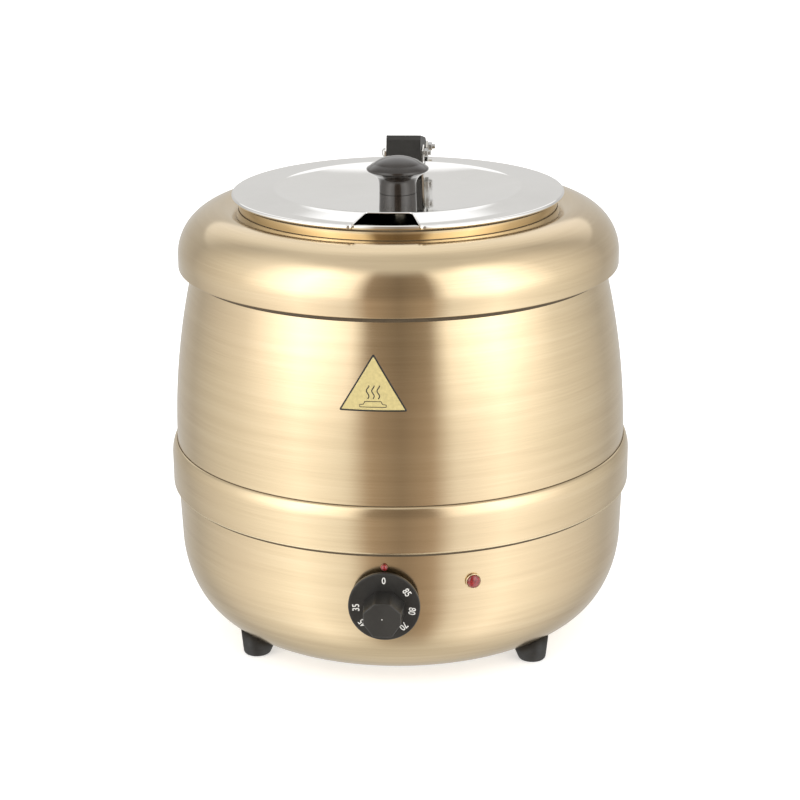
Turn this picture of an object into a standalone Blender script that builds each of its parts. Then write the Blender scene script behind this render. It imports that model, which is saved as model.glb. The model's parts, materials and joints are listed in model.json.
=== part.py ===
"""Electric soup kettle, about 10 litres: a barrel-shaped heater housing with a lift-out soup pot.

The kettle's axis is Z and its feet stand on z = 0. The controls face -Y and the lid hinge is at +Y.
Lengths below are in millimetres; MM turns them into Blender's metres.
"""

import math

import bmesh
import bpy
from mathutils import Vector

MM = 0.001
GAP = 0.3  # between touching solids

# --- Driving dimensions -------------------------------------------------------------------------
SEGMENTS = 36  # round the large turned pieces
SMALL_SEGMENTS = 24
SHEET = 1.0  # thickness of the spun shells

BAND_RADIUS = 172.5
BAND_LOW, BAND_HIGH = 114.0, 147.6
BODY_RADIUS = 168.5  # of the barrel where it enters the band
BARREL_TOP = 292.0
BARREL_BULGE = 0.00096  # radius lost per square millimetre of height above the band
BOWL_TOP = 129.0
BOWL_WALL_LOW = 75.0  # where the straight wall turns into the rounded corner
BOWL_BOTTOM = 11.0
BOWL_CORNER_RADIUS = 42.3  # radial half-axis of the elliptical corner
BOWL_OPENING = 98.0

COLLAR_RADIUS = 162.3
COLLAR_LOW = 279.0
COLLAR_ROUND = 35.0
COLLAR_ROUND_LOW = 288.0
COLLAR_HOLE = 115.0
COLLAR_SEAT = 320.0  # height at which the pot's skirt rests

POT_RADIUS = 113.6
POT_BOTTOM = 92.0
POT_SKIRT = 116.6
POT_TOP = 331.2
TANK_RADIUS = 120.0
TANK_BOTTOM = 66.0
CORNER = 12.0  # inside corner of the pot and the tank

LID_RADIUS = 121.6
LID_CREASE = 90.0  # radius where the dished centre meets the sloping rim
LID_CREASE_TOP = 334.4
LID_DISH = 4.9
LID_SHEET = 0.9
LID_HOLE = 2.9
NOTCH_INNER, NOTCH_OUTER = 88.5, 126.0  # how far the ladle notch reaches from the axis
NOTCH_HALF_WIDTH = 17.0  # at its inner end
NOTCH_HALF_MOUTH = 24.5  # at the lid's edge
KNOB_STEM = 13.6
KNOB_CAP = 22.8
KNOB_HEIGHT = 26.8

HINGE_Y, HINGE_Z = 132.5, 338.0
ARM_HALF_WIDTH = 13.0
ARM_BOLT_Y, ARM_BOLT_Z = 76.0, 344.0
PIN_RADIUS = 2.0

KNOB_Z = 76.4
KNOB_RADIUS = 25.0
KNOB_BACK = 171.5
KNOB_FRONT = 194.0
JEWEL_Z = 103.5
LAMP_Z = 89.6
LAMP_TURN = 21.2  # degrees round from the knob
GLAND_Z = 70.0
FOOT_CIRCLE = 135.0
FOOT_TURNS = {"front_left": -139, "front_right": -41, "rear_right": 41, "rear_left": 139}

# --- Materials: colour, roughness, metallic ------------------------------------------------------
FINISHES = {
    "brass": ((0.62, 0.50, 0.29), 0.3, 1.0),
    "polished_steel": ((0.78, 0.77, 0.74), 0.08, 1.0),
    "satin_steel": ((0.55, 0.55, 0.54), 0.35, 1.0),
    "aluminium": ((0.66, 0.66, 0.67), 0.4, 1.0),
    "bakelite": ((0.03, 0.027, 0.025), 0.25, 0.0),
    "black_plastic": ((0.025, 0.025, 0.026), 0.45, 0.0),
    "rubber": ((0.02, 0.02, 0.02), 0.7, 0.0),
    "red_lens": ((0.35, 0.02, 0.03), 0.15, 0.0),
    "white_plastic": ((0.75, 0.74, 0.70), 0.5, 0.0),
    "copper": ((0.72, 0.38, 0.22), 0.3, 1.0),
}


def finish_material(name):
    """The Principled material of one finish, made once."""
    material = bpy.data.materials.get(name)
    if material is None:
        colour, roughness, metallic = FINISHES[name]
        material = bpy.data.materials.new(name)
        material.use_nodes = True
        shader = material.node_tree.nodes["Principled BSDF"]
        shader.inputs["Base Color"].default_value = (*colour, 1.0)
        shader.inputs["Roughness"].default_value = roughness
        shader.inputs["Metallic"].default_value = metallic
    return material


# --- Shape helpers ------------------------------------------------------------------------------
def arc(centre, half_axes, start, stop, steps):
    """Points along an elliptical arc in (radius, height), angles in degrees from +radius."""
    points = []
    for step in range(steps + 1):
        angle = math.radians(start + (stop - start) * step / steps)
        radius = centre[0] + half_axes[0] * math.cos(angle)
        points.append((radius, centre[1] + half_axes[1] * math.sin(angle)))
    return points


def sheet(path, thickness=SHEET):
    """Closed outline of a sheet whose visible face follows path, with its metal on the path's left."""
    inner = []
    for index, point in enumerate(path):
        before = path[max(index - 1, 0)]
        after = path[min(index + 1, len(path) - 1)]
        normals = []
        for start, end in ((before, point), (point, after)):
            run, rise = end[0] - start[0], end[1] - start[1]
            length = math.hypot(run, rise)
            if length > 0:
                normals.append((-rise / length, run / length))
        across = sum(n[0] for n in normals), sum(n[1] for n in normals)
        size = math.hypot(*across)
        reach = thickness * 2 / size if len(normals) == 2 else thickness
        inner.append((point[0] + reach * across[0] / size, point[1] + reach * across[1] / size))
    return path + inner[::-1]


def make_object(name, mesh_data, finish, place=(0, 0, 0), direction=(0, 0, 1)):
    """Turn a bmesh into a named object whose own Z lies along direction."""
    bmesh.ops.remove_doubles(mesh_data, verts=mesh_data.verts, dist=1e-6)
    bmesh.ops.recalc_face_normals(mesh_data, faces=mesh_data.faces)
    mesh = bpy.data.meshes.new(name)
    mesh_data.to_mesh(mesh)
    mesh_data.free()
    mesh.materials.append(finish_material(finish))
    mesh.shade_smooth()
    mesh.set_sharp_from_angle(angle=math.radians(35))
    item = bpy.data.objects.new(name, mesh)
    bpy.context.collection.objects.link(item)
    item.location = [value * MM for value in place]
    item.rotation_euler = Vector((0, 0, 1)).rotation_difference(Vector(direction)).to_euler()
    return item


def turned(name, outline, finish, segments=SEGMENTS, place=(0, 0, 0), direction=(0, 0, 1)):
    """A turned solid from (radius, height) points, either starting on the axis or a closed ring off it."""
    mesh_data = bmesh.new()
    points = [mesh_data.verts.new((r * MM, 0, z * MM)) for r, z in outline]
    edges = [mesh_data.edges.new(pair) for pair in zip(points, points[1:])]
    if outline[0][0] > 0:
        edges.append(mesh_data.edges.new((points[-1], points[0])))
    swept = points + edges
    bmesh.ops.spin(mesh_data, geom=swept, axis=(0, 0, 1), angle=math.tau, steps=segments, use_merge=True)
    return make_object(name, mesh_data, finish, place, direction)


def prism(name, outline, finish, low, high):
    """A (y, z) outline drawn out along X from low to high."""
    mesh_data = bmesh.new()
    near = [mesh_data.verts.new((low * MM, y * MM, z * MM)) for y, z in outline]
    face = mesh_data.faces.new(near)
    drawn = bmesh.ops.extrude_face_region(mesh_data, geom=[face])
    far = [part for part in drawn["geom"] if isinstance(part, bmesh.types.BMVert)]
    bmesh.ops.translate(mesh_data, verts=far, vec=((high - low) * MM, 0, 0))
    return make_object(name, mesh_data, finish)


def box(name, low, high, finish, bevel=0.0):
    """A box between two corners, with an optional rounded edge."""
    mesh_data = bmesh.new()
    bmesh.ops.create_cube(mesh_data, size=1.0)
    size = [(b - a) * MM for a, b in zip(low, high)]
    bmesh.ops.scale(mesh_data, vec=size, verts=mesh_data.verts)
    if bevel:
        bmesh.ops.bevel(mesh_data, geom=mesh_data.edges[:], offset=bevel * MM, segments=2, affect="EDGES")
    return make_object(name, mesh_data, finish, [(a + b) / 2 for a, b in zip(low, high)])


def tube(name, points, radius, finish, resolution=1):
    """A round tube along a poly line."""
    curve = bpy.data.curves.new(name, "CURVE")
    curve.dimensions = "3D"
    curve.bevel_depth = radius * MM
    curve.bevel_resolution = resolution
    curve.use_fill_caps = True
    spline = curve.splines.new("POLY")
    spline.points.add(len(points) - 1)
    for spot, point in zip(spline.points, points):
        spot.co = (*[value * MM for value in point], 1.0)
    curve.materials.append(finish_material(finish))
    item = bpy.data.objects.new(name, curve)
    bpy.context.collection.objects.link(item)
    return item


def between(before, start, stop, after, t):
    """The Catmull-Rom point a share t of the way from start to stop."""
    point = []
    for a, b, c, d in zip(before, start, stop, after):
        square = 2 * a - 5 * b + 4 * c - d
        cube = 3 * b - a - 3 * c + d
        point.append(0.5 * (2 * b + (c - a) * t + square * t**2 + cube * t**3))
    return point


def smooth_route(knots, steps):
    """Points along a curve through the knots, so that a tube bends without kinks."""
    ends = [knots[0], *knots, knots[-1]]
    route = []
    for span in zip(ends, ends[1:], ends[2:], ends[3:]):
        route += [between(*span, step / steps) for step in range(steps)]
    return route + [list(knots[-1])]


def combine(target, guide, operation):
    """Change target by the guide's shape, and keep the guide out of the model."""
    guide.hide_render = True
    guide.display_type = "WIRE"
    modifier = target.modifiers.new(operation.lower(), "BOOLEAN")
    modifier.operation = operation
    modifier.object = guide


def cut(target, cutter):
    combine(target, cutter, "DIFFERENCE")


def join(target, addition):
    combine(target, addition, "UNION")


def drill(target, radius, place, direction, depth, segments=14):
    """A round hole through target, centred on place."""
    outline = [(0, -depth / 2), (radius, -depth / 2), (radius, depth / 2), (0, depth / 2)]
    cut(target, turned("guide", outline, "satin_steel", segments, place, direction))


def screw(name, finish, head, shank, place, direction, segments=12):
    """A screw or bolt: head (radius, height) above place, shank (radius, length) below it."""
    shank_outline = [(0, -shank[1]), (shank[0], -shank[1]), (shank[0], 0)]
    head_outline = [(head[0], 0), (head[0], head[1]), (0, head[1])]
    return turned(name, shank_outline + head_outline, finish, segments, place, direction)


def hex_nut(name, bore, across, height, place, direction):
    """A hexagonal nut with its bearing face at place."""
    outline = [(bore, 0), (across, 0), (across, height), (bore, height)]
    return turned(name, outline, "satin_steel", 6, place, direction)


def on_wall(radius, turn, height):
    """The point at this radius, turn degrees round from the front towards +X."""
    angle = math.radians(turn)
    return (radius * math.sin(angle), -radius * math.cos(angle), height)


# --- Housing ------------------------------------------------------------------------------------
def bowl_path(clearance=0.0):
    """The lower bowl's outer face, from the bottom opening out and up to its top edge."""
    corner_low = BODY_RADIUS - 1.0 - BOWL_CORNER_RADIUS
    depth = BOWL_WALL_LOW - BOWL_BOTTOM
    axes = (BOWL_CORNER_RADIUS + clearance, depth + clearance)
    corner = arc((corner_low, BOWL_WALL_LOW), axes, -90, 0, 6)
    return [
        (BOWL_OPENING, BOWL_BOTTOM - clearance),
        *corner,
        (BODY_RADIUS - 0.1 + clearance, 100.0),
        (BODY_RADIUS + 0.1 + clearance, BOWL_TOP),
    ]


def make_lower_bowl():
    bowl = turned("lower_bowl", sheet(bowl_path()), "brass")
    drill(bowl, 4.0, (0, -BODY_RADIUS, KNOB_Z), (0, 1, 0), 20)
    for side in (-1, 1):
        drill(bowl, 2.1, (side * 14, -BODY_RADIUS, KNOB_Z), (0, 1, 0), 20)
    drill(bowl, 1.5, (0, -BODY_RADIUS, JEWEL_Z), (0, 1, 0), 20)
    drill(bowl, 5.0, on_wall(BODY_RADIUS, LAMP_TURN, LAMP_Z), on_wall(1, LAMP_TURN, 0), 20)
    drill(bowl, 8.0, (0, BODY_RADIUS, GLAND_Z), (0, 1, 0), 20)
    for x, y in foot_centres():
        drill(bowl, 2.3, (x, y, 20), (0, 0, 1), 30)
    for x, y in base_screw_centres():
        drill(bowl, 2.1, (x, y, BOWL_BOTTOM), (0, 0, 1), 8)


def make_waist_band():
    path = [
        (169.3, BAND_LOW - 0.2),
        (171.4, BAND_LOW),
        (BAND_RADIUS, BAND_LOW + 1.6),
        (BAND_RADIUS, 138.0),
        (BAND_RADIUS - 1.2, 143.4),
        (BAND_RADIUS - 2.5, BAND_HIGH),
    ]
    turned("waist_band", sheet(path), "brass")


def make_barrel_shell():
    low = BOWL_TOP + 2.0
    steps = 5
    path = []
    for step in range(steps + 1):
        z = low + (BARREL_TOP - low) * step / steps
        above = max(z - BAND_HIGH, 0.0)
        path.append((BODY_RADIUS - BARREL_BULGE * above**2, z))
    turned("barrel_shell", sheet(path), "brass")


def make_collar():
    crest = COLLAR_RADIUS - COLLAR_ROUND
    path = [
        (COLLAR_RADIUS - 1.2, COLLAR_LOW),
        (COLLAR_RADIUS, COLLAR_LOW + 1.6),
        *arc((crest, COLLAR_ROUND_LOW), (COLLAR_ROUND, 34.5), 0, 90, 6),
        (COLLAR_HOLE + 1.5, COLLAR_SEAT),
        (COLLAR_HOLE, COLLAR_SEAT - 1.5),
        (COLLAR_HOLE, COLLAR_SEAT - 13.0),
    ]
    turned("collar", sheet(path), "brass")


def foot_centres():
    angles = [math.radians(turn) for turn in FOOT_TURNS.values()]
    return [(FOOT_CIRCLE * math.cos(a), FOOT_CIRCLE * math.sin(a)) for a in angles]


def base_screw_centres():
    angles = [math.radians(25 + 90 * index) for index in range(4)]
    return [(106 * math.cos(a), 106 * math.sin(a)) for a in angles]


def make_foot(name, turn):
    """A moulded foot, upright on its outer side and flared towards the kettle's axis, cut to the bowl."""
    mesh_data = bmesh.new()
    rings = [(9.0, 0.0, 0.0), (10.4, 1.4, 0.0), (18.5, 30.0, 6.5)]  # radius, height, shift inwards
    steps = 20
    loops = []
    for radius, height, shift in rings:
        loop = []
        for step in range(steps):
            angle = math.tau * step / steps
            x = FOOT_CIRCLE - shift + radius * math.cos(angle)
            loop.append(mesh_data.verts.new((x * MM, radius * math.sin(angle) * MM, height * MM)))
        loops.append(loop)
    edges = [[mesh_data.edges.new((a, b)) for a, b in zip(loop, loop[1:] + loop[:1])] for loop in loops]
    for low, high in zip(edges, edges[1:]):
        bmesh.ops.bridge_loops(mesh_data, edges=low + high)
    mesh_data.faces.new(loops[0])
    mesh_data.faces.new(loops[-1])
    foot = make_object(name, mesh_data, "rubber")
    foot.rotation_euler = (0, 0, math.radians(turn))
    clear = bowl_path(GAP)
    solid = [(0, clear[0][1]), *clear, (0, BOWL_TOP)]
    cut(foot, turned("guide", solid, "brass"))
    angle = math.radians(turn)
    drill(foot, 2.1, (FOOT_CIRCLE * math.cos(angle), FOOT_CIRCLE * math.sin(angle), 20), (0, 0, 1), 24)


def make_base():
    plate = turned("base_plate", [(0, 9.4), (112, 9.4), (112, 10.7), (0, 10.7)], "satin_steel")
    for x, y in base_screw_centres():
        drill(plate, 2.1, (x, y, 10), (0, 0, 1), 8)
    for number, (x, y) in enumerate(base_screw_centres(), 1):
        screw(f"base_screw_{number}", "satin_steel", (3.4, 1.8), (1.7, 7.0), (x, y, 9.4 - GAP), (0, 0, -1))
    for number, (x, y) in enumerate(foot_centres(), 1):
        screw(f"foot_screw_{number}", "satin_steel", (4.2, 2.4), (1.8, 8.5), (x, y, 17.5), (0, 0, 1))
    for place, turn in FOOT_TURNS.items():
        make_foot("foot_" + place, turn)


# --- Heater and controls inside the housing -------------------------------------------------------
def make_water_tank():
    outline = [
        (0, 50.0),
        (3.0, 50.0),
        (3.0, TANK_BOTTOM),
        *arc((TANK_RADIUS - CORNER, TANK_BOTTOM + CORNER), (CORNER, CORNER), -90, 0, 3),
        (TANK_RADIUS, 317.5),
        (127.0, 317.5),
        (127.0, 318.5),
        (TANK_RADIUS - SHEET, 318.5),
        *arc((TANK_RADIUS - CORNER, TANK_BOTTOM + CORNER), (CORNER - SHEET, CORNER - SHEET), 0, -90, 3),
        (0, TANK_BOTTOM + SHEET),
    ]
    turned("water_tank", outline, "satin_steel")


def make_heater():
    ring_radius, wire = 72.0, 4.0
    height = TANK_BOTTOM - GAP - wire
    route = []
    for step in range(33):
        angle = math.radians(-72 + 324 * step / 32)
        route.append((ring_radius * math.cos(angle), ring_radius * math.sin(angle), height))
    tube("heating_element", route, wire, "satin_steel")
    under = height - wire - GAP
    plate = [(3.6, under - 1.5), (90, under - 1.5), (90, under), (3.6, under)]
    turned("heater_clamp_plate", plate, "satin_steel", 32)
    hex_nut("clamp_nut", 3.6, 7.0, 3.6, (0, 0, under - 1.5 - GAP - 3.6), (0, 0, 1))
    cutout = [(0, -9), (6, -9), (8, -7), (8, 0), (0, 0)]
    turned("thermal_cutout", cutout, "black_plastic", 16, (38, 0, under - 1.5 - GAP))


def make_thermostat():
    body = box("thermostat_body", (-18, -159.5, KNOB_Z - 18), (18, -126.5, KNOB_Z + 18), "white_plastic", 1.5)
    for side in (-1, 1):
        drill(body, 2.1, (side * 14, -159.5, KNOB_Z), (0, 1, 0), 18)
    for name, side in (("left", -1), ("right", 1)):
        place = (side * 14, -168.9, KNOB_Z)
        screw("thermostat_screw_" + name, "satin_steel", (3.6, 1.6), (1.7, 13.5), place, (0, -1, 0))
    shaft = [(0, 160), (3.0, 160), (3.0, 184), (0, 184)]
    turned("thermostat_shaft", shaft, "aluminium", 16, (0, 0, KNOB_Z), (0, -1, 0))

    bulb_x, bulb_y, bulb_low = -96.0, -84.0, 84.0
    bulb = [(0, 0), (2.2, 0), (3.2, 2), (3.2, 62), (0, 62)]
    turned("thermostat_bulb", bulb, "copper", 12, (bulb_x, bulb_y, bulb_low))
    knots = [
        (-12.0, -143.0, KNOB_Z + 18.4),
        (-13.0, -143.0, KNOB_Z + 27.0),
        (-34.0, -141.0, KNOB_Z + 30.0),
        (-66.0, -124.0, KNOB_Z + 8.0),
        (-88.0, -101.0, KNOB_Z - 8.0),
        (bulb_x, bulb_y, bulb_low - 12.0),
        (bulb_x, bulb_y, bulb_low - GAP),
    ]
    tube("capillary_tube", smooth_route(knots, 4), 0.9, "copper", 0)


def make_knob():
    """A round dial with a bold hexagonal grip that tapers a little towards its face."""
    dial_outline = [
        (0, 0),
        (KNOB_RADIUS - 1.4, 0),
        (KNOB_RADIUS, 1.0),
        (KNOB_RADIUS, 2.6),
        (KNOB_RADIUS - 1.0, 3.6),
        (0, 3.6),
    ]
    place, outwards = (0, -KNOB_BACK, KNOB_Z), (0, -1, 0)
    dial = turned("control_knob", dial_outline, "black_plastic", 32, place, outwards)

    grip_base = KNOB_BACK + 3.2
    flare = 1.08  # the grip's foot against its face
    half_face = [(5.4, 10.3), (13.0, 3.5), (13.0, -4.8), (6.5, -14.3)]
    face = half_face + [(-x, z) for x, z in reversed(half_face)]
    mesh_data = bmesh.new()
    near = [mesh_data.verts.new((x * MM, -KNOB_FRONT * MM, (KNOB_Z + z) * MM)) for x, z in face]
    front = mesh_data.faces.new(near)
    drawn = bmesh.ops.extrude_face_region(mesh_data, geom=[front])
    far = [part for part in drawn["geom"] if isinstance(part, bmesh.types.BMVert)]
    for point in far:
        point.co.y = -grip_base * MM
        point.co.x *= flare
        point.co.z = (KNOB_Z + (point.co.z / MM - KNOB_Z) * flare) * MM
    grip = make_object("guide", mesh_data, "black_plastic")
    join(dial, grip)
    drill(dial, 3.3, place, outwards, 28, 16)


def make_indicators():
    out = on_wall(1, LAMP_TURN, 0)
    lens = [(0, 168.8), (5.4, 168.8), (5.4, 169.8), (4.6, 171.0), (2.6, 171.8), (0, 172.0)]
    turned("indicator_lens", lens, "red_lens", SMALL_SEGMENTS, (0, 0, LAMP_Z), out)
    holder = [(0, 146), (4.6, 146), (4.6, 168.5), (0, 168.5)]
    turned("indicator_body", holder, "white_plastic", 16, (0, 0, LAMP_Z), out)
    nut = [(5.0, 160), (7.6, 160), (7.6, 163), (5.0, 163)]
    turned("indicator_nut", nut, "black_plastic", 16, (0, 0, LAMP_Z), out)
    jewel = [(0, 163), (1.2, 163), (1.2, 169.0), (2.5, 169.0), (2.2, 170.4), (1.2, 171.2), (0, 171.4)]
    turned("index_jewel", jewel, "red_lens", 16, (0, 0, JEWEL_Z), (0, -1, 0))


def make_mains_inlet():
    bore = 3.8
    gland = [
        (bore, 154.0),
        (7.6, 154.0),
        (7.6, 169.0),
        (11.0, 169.0),
        (11.0, 174.0),
        (9.6, 175.0),
        (9.6, 183.0),
        (7.2, 191.0),
        (5.6, KNOB_FRONT),
        (bore, KNOB_FRONT),
    ]
    turned("cord_gland", gland, "black_plastic", SMALL_SEGMENTS, (0, 0, GLAND_Z), (0, 1, 0))
    nut = [(8.0, 159.0), (11.5, 159.0), (11.5, 164.0), (8.0, 164.0)]
    turned("gland_nut", nut, "black_plastic", SMALL_SEGMENTS, (0, 0, GLAND_Z), (0, 1, 0))
    box("terminal_block", (-16, 58, 11.0), (16, 78, 26.0), "white_plastic", 1.0)


# --- Pot, lid and hinge ---------------------------------------------------------------------------
def make_soup_pot():
    outline = [
        (0, POT_BOTTOM),
        *arc((POT_RADIUS - CORNER, POT_BOTTOM + CORNER), (CORNER, CORNER), -90, 0, 3),
        (POT_RADIUS, POT_TOP - 1.1),
        (POT_SKIRT - 1.0, POT_TOP - 1.1),
        (POT_SKIRT - 1.0, COLLAR_SEAT + 0.5),
        (POT_SKIRT, COLLAR_SEAT + 0.5),
        (POT_SKIRT, POT_TOP - 0.7),
        (POT_SKIRT - 0.7, POT_TOP),
        (POT_RADIUS - SHEET, POT_TOP),
        *arc((POT_RADIUS - CORNER, POT_BOTTOM + CORNER), (CORNER - SHEET, CORNER - SHEET), 0, -90, 3),
        (0, POT_BOTTOM + SHEET),
    ]
    turned("soup_pot", outline, "polished_steel")


def lid_height(radius):
    """Height of the lid's dished top face at this radius."""
    return LID_CREASE_TOP - LID_DISH * (1 - (radius / LID_CREASE) ** 2)


def make_lid():
    """The dished lid with its sloping rim, its rolled edge and the ladle notch at the front."""
    dish = [LID_HOLE, 30.0, 55.0, 74.0, 88.0]
    rim_start = LID_CREASE + 2.0
    edge_top = LID_CREASE_TOP - 2.1
    top = [(radius, lid_height(radius)) for radius in dish]
    top += [(LID_CREASE, LID_CREASE_TOP + 0.1), (rim_start, LID_CREASE_TOP - 0.1)]
    top += [(LID_RADIUS - 4.4, edge_top)]
    rolled_edge = [
        (LID_RADIUS - 1.0, edge_top),
        (LID_RADIUS, edge_top - 1.0),
        (LID_RADIUS, edge_top - 2.2),
        (LID_RADIUS - 1.2, edge_top - 3.0),
    ]
    hem = [(LID_RADIUS - 2.8, edge_top - 2.6), (LID_RADIUS - 3.8, edge_top - LID_SHEET)]
    under = [(rim_start, LID_CREASE_TOP - LID_SHEET - 0.2), (88.0, lid_height(88.0) - LID_SHEET)]
    under += [(radius, lid_height(radius) - LID_SHEET) for radius in reversed(dish[:-1])]
    lid = turned("lid", top + rolled_edge + hem + under, "polished_steel")
    cut(lid, make_notch_guide())


def make_notch_guide():
    """The wedge that cuts the ladle notch into the lid's front edge."""
    low, high = LID_CREASE_TOP - 15, LID_CREASE_TOP + 10
    plan = [
        (-NOTCH_HALF_WIDTH, -NOTCH_INNER),
        (-NOTCH_HALF_MOUTH, -NOTCH_OUTER),
        (NOTCH_HALF_MOUTH, -NOTCH_OUTER),
        (NOTCH_HALF_WIDTH, -NOTCH_INNER),
    ]
    mesh_data = bmesh.new()
    bottom = mesh_data.faces.new([mesh_data.verts.new((x * MM, y * MM, low * MM)) for x, y in plan])
    drawn = bmesh.ops.extrude_face_region(mesh_data, geom=[bottom])
    top = [part for part in drawn["geom"] if isinstance(part, bmesh.types.BMVert)]
    bmesh.ops.translate(mesh_data, verts=top, vec=(0, 0, (high - low) * MM))
    return make_object("guide", mesh_data, "polished_steel")


def make_lid_knob():
    base = lid_height(0) + 0.3
    outline = [
        (0, base + 14.0),
        (2.6, base + 14.0),
        (2.6, base),
        (KNOB_STEM + 0.6, base),
        (KNOB_STEM, base + 2.0),
        (KNOB_STEM, base + 9.0),
        (KNOB_STEM + 1.4, base + 13.0),
        (KNOB_CAP - 3.8, base + 16.5),
        (KNOB_CAP - 0.8, base + 17.6),
        (KNOB_CAP, base + 19.2),
        (KNOB_CAP - 1.0, base + 20.8),
        (17.0, base + 23.6),
        (9.0, base + 26.0),
        (0, base + KNOB_HEIGHT),
    ]
    turned("lid_knob", outline, "bakelite", SMALL_SEGMENTS)
    under_lid = lid_height(0) - LID_SHEET - GAP
    screw("lid_knob_screw", "satin_steel", (5.0, 2.4), (2.2, 12.5), (0, 0, under_lid), (0, 0, -1))


def make_lid_arm():
    """The black arm over the lid's rear, its bracket on the lid and the bolt that clamps it."""
    profile = [
        (64.0, 338.0),
        (64.0, 356.0),
        (67.0, 359.0),
        (120.0, 347.8),
        (133.0, 344.8),
        (139.5, 341.0),
        (140.5, 336.0),
        (137.0, 331.0),
        (128.5, 330.0),
        (125.2, 334.6),
        (120.0, 336.2),
        (90.0, 338.0),
    ]
    arm = prism("hinge_arm", profile, "black_plastic", -ARM_HALF_WIDTH, ARM_HALF_WIDTH)
    drill(arm, PIN_RADIUS + 0.3, (0, HINGE_Y, HINGE_Z), (1, 0, 0), 40, 24)
    drill(arm, PIN_RADIUS + 0.3, (0, ARM_BOLT_Y, ARM_BOLT_Z), (1, 0, 0), 40, 24)

    ear_in, ear_out = ARM_HALF_WIDTH + 0.5, ARM_HALF_WIDTH + 1.7
    floor, thickness, ear_top = 0.35, 1.2, 14.4
    section = [
        (-ear_out, floor),
        (ear_out, floor),
        (ear_out, ear_top),
        (ear_in, ear_top),
        (ear_in, floor + thickness),
        (-ear_in, floor + thickness),
        (-ear_in, ear_top),
        (-ear_out, ear_top),
    ]
    start, stop = 67.0, 85.0
    mesh_data = bmesh.new()
    base_height = lid_height(math.hypot(start, ear_out))
    rise = lid_height(math.hypot(stop, ear_out)) - base_height
    near = [mesh_data.verts.new((x * MM, start * MM, (base_height + z) * MM)) for x, z in section]
    drawn = bmesh.ops.extrude_face_region(mesh_data, geom=[mesh_data.faces.new(near)])
    far = [part for part in drawn["geom"] if isinstance(part, bmesh.types.BMVert)]
    bmesh.ops.translate(mesh_data, verts=far, vec=(0, (stop - start) * MM, rise * MM))
    bracket = make_object("lid_bracket", mesh_data, "polished_steel")
    drill(bracket, PIN_RADIUS + 0.3, (0, ARM_BOLT_Y, ARM_BOLT_Z), (1, 0, 0), 60, 24)

    head_at = ear_out + GAP
    place = (-head_at, ARM_BOLT_Y, ARM_BOLT_Z)
    screw("arm_bolt", "satin_steel", (3.6, 2.6), (PIN_RADIUS, 2 * head_at + 5.5), place, (-1, 0, 0), 16)
    hex_nut("arm_nut", 2.4, 4.0, 3.0, (head_at, ARM_BOLT_Y, ARM_BOLT_Z), (1, 0, 0))


def make_hinge_bracket():
    """The bracket on the pot's rim: a tab on the skirt, a foot over the collar and two ears for the pin."""
    ear_in, ear_out = ARM_HALF_WIDTH + 0.5, ARM_HALF_WIDTH + 1.9
    low, floor, thickness = COLLAR_SEAT + 1.0, 323.0, 1.2
    tab_face = POT_SKIRT + 0.3
    side = [
        (tab_face, low),
        (tab_face + thickness, low),
        (tab_face + thickness, floor),
        (138.5, floor),
        (138.5, floor + thickness),
        (tab_face, floor + thickness),
    ]
    strap = prism("hinge_bracket", side, "polished_steel", -ear_out, ear_out)
    ear = [(126.5, floor + 0.6), (138.5, floor + 0.6), (138.5, HINGE_Z), (136.0, 342.0), (129.5, 342.0)]
    ear.append((126.5, HINGE_Z))
    for near, far in ((-ear_out, -ear_in), (ear_in, ear_out)):
        join(strap, prism("guide", ear, "polished_steel", near, far))
    drill(strap, PIN_RADIUS + 0.3, (0, HINGE_Y, HINGE_Z), (1, 0, 0), 60, 24)

    head_at = ear_out + GAP
    place = (-head_at, HINGE_Y, HINGE_Z)
    screw("hinge_pin", "satin_steel", (3.6, 2.6), (PIN_RADIUS, 2 * head_at + 5.5), place, (-1, 0, 0), 16)
    hex_nut("hinge_pin_nut", 2.4, 4.0, 3.0, (head_at, HINGE_Y, HINGE_Z), (1, 0, 0))


def main():
    for item in list(bpy.data.objects):
        bpy.data.objects.remove(item, do_unlink=True)
    make_lower_bowl()
    make_waist_band()
    make_barrel_shell()
    make_collar()
    make_base()
    make_water_tank()
    make_heater()
    make_thermostat()
    make_knob()
    make_indicators()
    make_mains_inlet()
    make_soup_pot()
    make_lid()
    make_lid_knob()
    make_lid_arm()
    make_hinge_bracket()


main()
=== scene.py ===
"""Looks of an electric soup kettle: brushed brass-tone housing, polished lid, black controls.

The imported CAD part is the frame. Lengths are metres, the kettle's axis is Z, its controls face -Y.
"""

import json
import math

import bmesh
import bpy
from mathutils import Matrix, Vector


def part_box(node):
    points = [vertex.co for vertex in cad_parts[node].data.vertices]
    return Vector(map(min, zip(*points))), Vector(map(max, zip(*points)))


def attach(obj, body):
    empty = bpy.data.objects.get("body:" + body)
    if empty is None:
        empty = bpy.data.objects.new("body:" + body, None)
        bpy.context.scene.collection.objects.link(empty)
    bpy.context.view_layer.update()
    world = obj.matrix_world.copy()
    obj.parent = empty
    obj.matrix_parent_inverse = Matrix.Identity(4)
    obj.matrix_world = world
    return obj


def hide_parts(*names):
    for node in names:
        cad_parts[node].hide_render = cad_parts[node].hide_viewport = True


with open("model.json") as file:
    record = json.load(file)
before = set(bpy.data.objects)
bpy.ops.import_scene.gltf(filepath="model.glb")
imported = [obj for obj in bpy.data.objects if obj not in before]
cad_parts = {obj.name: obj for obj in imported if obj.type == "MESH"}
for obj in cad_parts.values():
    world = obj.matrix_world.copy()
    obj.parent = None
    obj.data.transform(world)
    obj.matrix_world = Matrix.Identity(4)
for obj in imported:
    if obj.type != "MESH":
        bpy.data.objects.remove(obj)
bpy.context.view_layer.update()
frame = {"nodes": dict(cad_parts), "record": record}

MM = 0.001
ROUND = 192  # steps round the large turned pieces
SHEET = 0.9 * MM

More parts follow.
